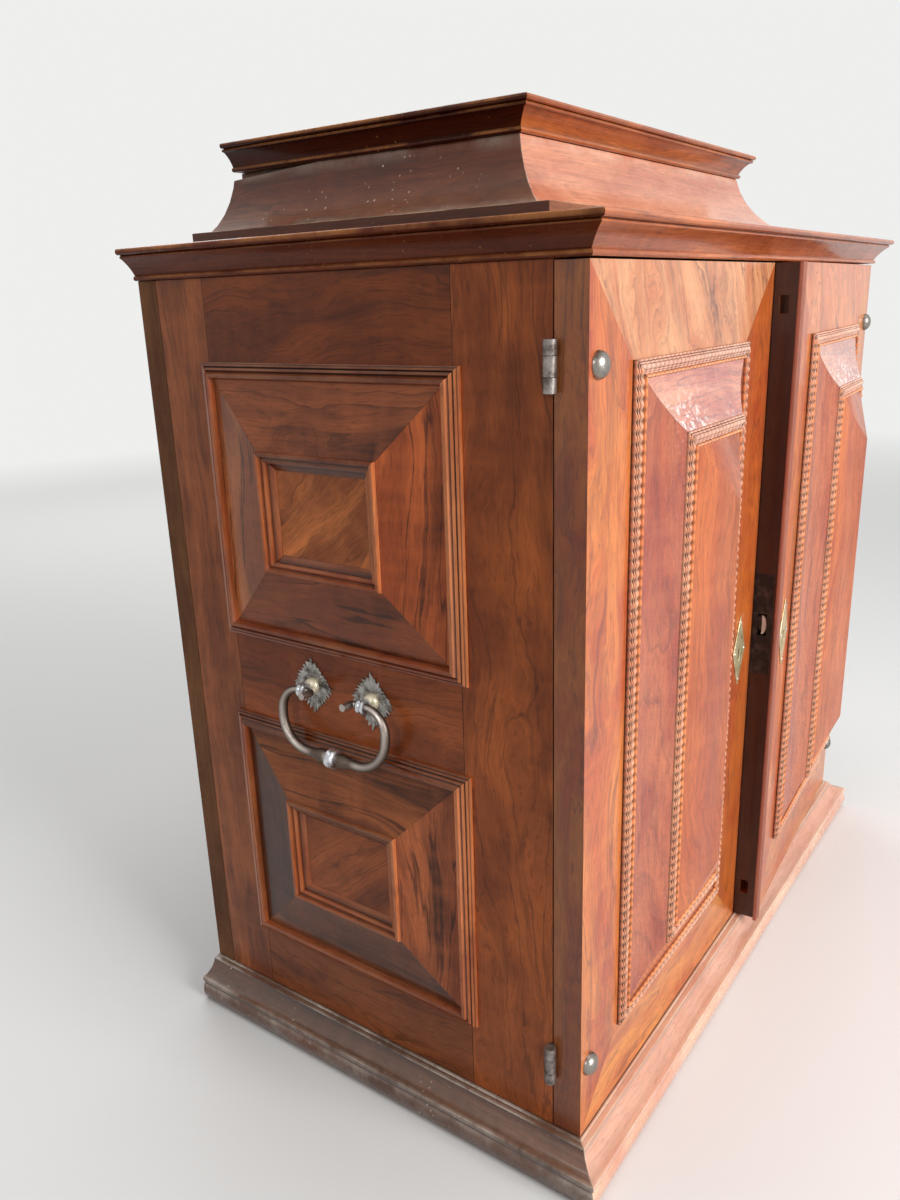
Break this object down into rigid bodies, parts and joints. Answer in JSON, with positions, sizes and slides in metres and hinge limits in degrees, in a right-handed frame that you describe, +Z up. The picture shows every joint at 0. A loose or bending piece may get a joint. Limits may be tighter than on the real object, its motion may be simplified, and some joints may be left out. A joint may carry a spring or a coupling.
{
  "type": "two-door table cabinet",
  "caption": "Baroque walnut table cabinet with ripple-framed pillow doors, panelled sides, drop handles and a stepped, coved top with a lifting lid.",
  "frame": {"origin": "on the floor under the middle of the cabinet's outline", "axes": "+Z up, the doors face -Y, +X is the cabinet's right as seen from in front"},
  "size_m": [0.8146, 0.5222, 0.8924],
  "materials": {
    "door_walnut": "shellac-polished figured walnut veneer, warm orange red",
    "ripple_walnut": "satin rippled fruitwood moulding, pinkish brown",
    "side_walnut": "satin walnut, medium brown",
    "moulding_walnut": "satin red-brown walnut with dusty hollows",
    "top_walnut": "dull walnut with dust",
    "cove_walnut": "satin walnut with a faint bloom",
    "old_pine": "bare aged softwood",
    "dark_iron": "dark wrought iron",
    "worn_iron": "rubbed grey iron",
    "bright_steel": "rubbed bright steel",
    "bail_metal": "polished iron with brown patina",
    "old_brass": "pale worn brass"
  },
  "bodies": {
    "carcass": {"back_boards": "old_pine", "base_frame": "old_pine", "base_moulding_front": "moulding_walnut", "base_moulding_left": "moulding_walnut", "base_moulding_right": "moulding_walnut", "bottom_board": "old_pine", "carcass_hinge_leaves": "dark_iron", "cornice_front": "moulding_walnut", "cornice_left": "moulding_walnut", "cornice_right": "moulding_walnut", "cove_back": "old_pine", "cove_front": "cove_walnut", "cove_left": "cove_walnut", "cove_right": "cove_walnut", "door_hinge_pins": "dark_iron", "handle_posts": "old_brass", "handle_rosettes": "worn_iron", "left_side_field_frames": "moulding_walnut", "left_side_frame": "side_walnut", "left_side_mouldings": "moulding_walnut", "left_side_panels": "side_walnut", "left_side_pillows": "side_walnut", "lid_hinge_lower_leaves": "dark_iron", "lid_hinge_pins": "dark_iron", "right_side_field_frames": "moulding_walnut", "right_side_frame": "side_walnut", "right_side_mouldings": "moulding_walnut", "right_side_panels": "side_walnut", "right_side_pillows": "side_walnut", "shelf_battens": "old_pine", "shelves": "old_pine", "step_frame": "top_walnut", "top_board": "top_walnut"},
    "left_door": {"left_door_board": "door_walnut", "left_door_escutcheon": "old_brass", "left_door_hinge_leaves": "dark_iron", "left_door_hinge_studs": "worn_iron", "left_door_hipped_panel": "door_walnut", "left_door_inner_ripple_frame": "ripple_walnut", "left_door_outer_ripple_frame": "ripple_walnut", "left_door_pillow_band": "door_walnut", "left_door_strike_plate": "dark_iron"},
    "right_door": {"right_door_astragal": "door_walnut", "right_door_board": "door_walnut", "right_door_escutcheon": "old_brass", "right_door_hinge_leaves": "dark_iron", "right_door_hinge_studs": "worn_iron", "right_door_hipped_panel": "door_walnut", "right_door_inner_ripple_frame": "ripple_walnut", "right_door_lock_case": "dark_iron", "right_door_outer_ripple_frame": "ripple_walnut", "right_door_pillow_band": "door_walnut"},
    "lid": {"lid_board": "top_walnut", "lid_hinge_upper_leaves": "dark_iron", "lid_moulding_front": "moulding_walnut", "lid_moulding_left": "moulding_walnut", "lid_moulding_right": "moulding_walnut"},
    "left_bail": {"left_bail": "bail_metal"},
    "right_bail": {"right_bail": "bail_metal"},
    "lock_bolt": {"lock_bolt": "bright_steel"}
  },
  "joints": [
    {"name": "left_door_swing", "type": "hinge", "parent": "carcass", "child": "left_door", "pos_m": [-0.3844, -0.17883, 0.4055], "axis": [0, 0, -1], "range_deg": [0, 170]},
    {"name": "right_door_swing", "type": "hinge", "parent": "carcass", "child": "right_door", "pos_m": [0.3844, -0.17883, 0.4055], "axis": [0, 0, 1], "range_deg": [-3.5, 166.5]},
    {"name": "lid_lift", "type": "hinge", "parent": "carcass", "child": "lid", "pos_m": [0, 0.25707, 0.8672], "axis": [-1, 0, 0], "range_deg": [0, 100]},
    {"name": "left_bail_swing", "type": "hinge", "parent": "carcass", "child": "left_bail", "pos_m": [-0.39303, 0.03667, 0.4095], "axis": [0, 1, 0], "range_deg": [0, 110]},
    {"name": "right_bail_swing", "type": "hinge", "parent": "carcass", "child": "right_bail", "pos_m": [0.39303, 0.03667, 0.4095], "axis": [0, -1, 0], "range_deg": [0, 110]},
    {"name": "lock_bolt_slide", "type": "slide", "parent": "right_door", "child": "lock_bolt", "axis": [-0.9981, -0.061, 0], "range_m": [0, 0.009]}
  ]
}
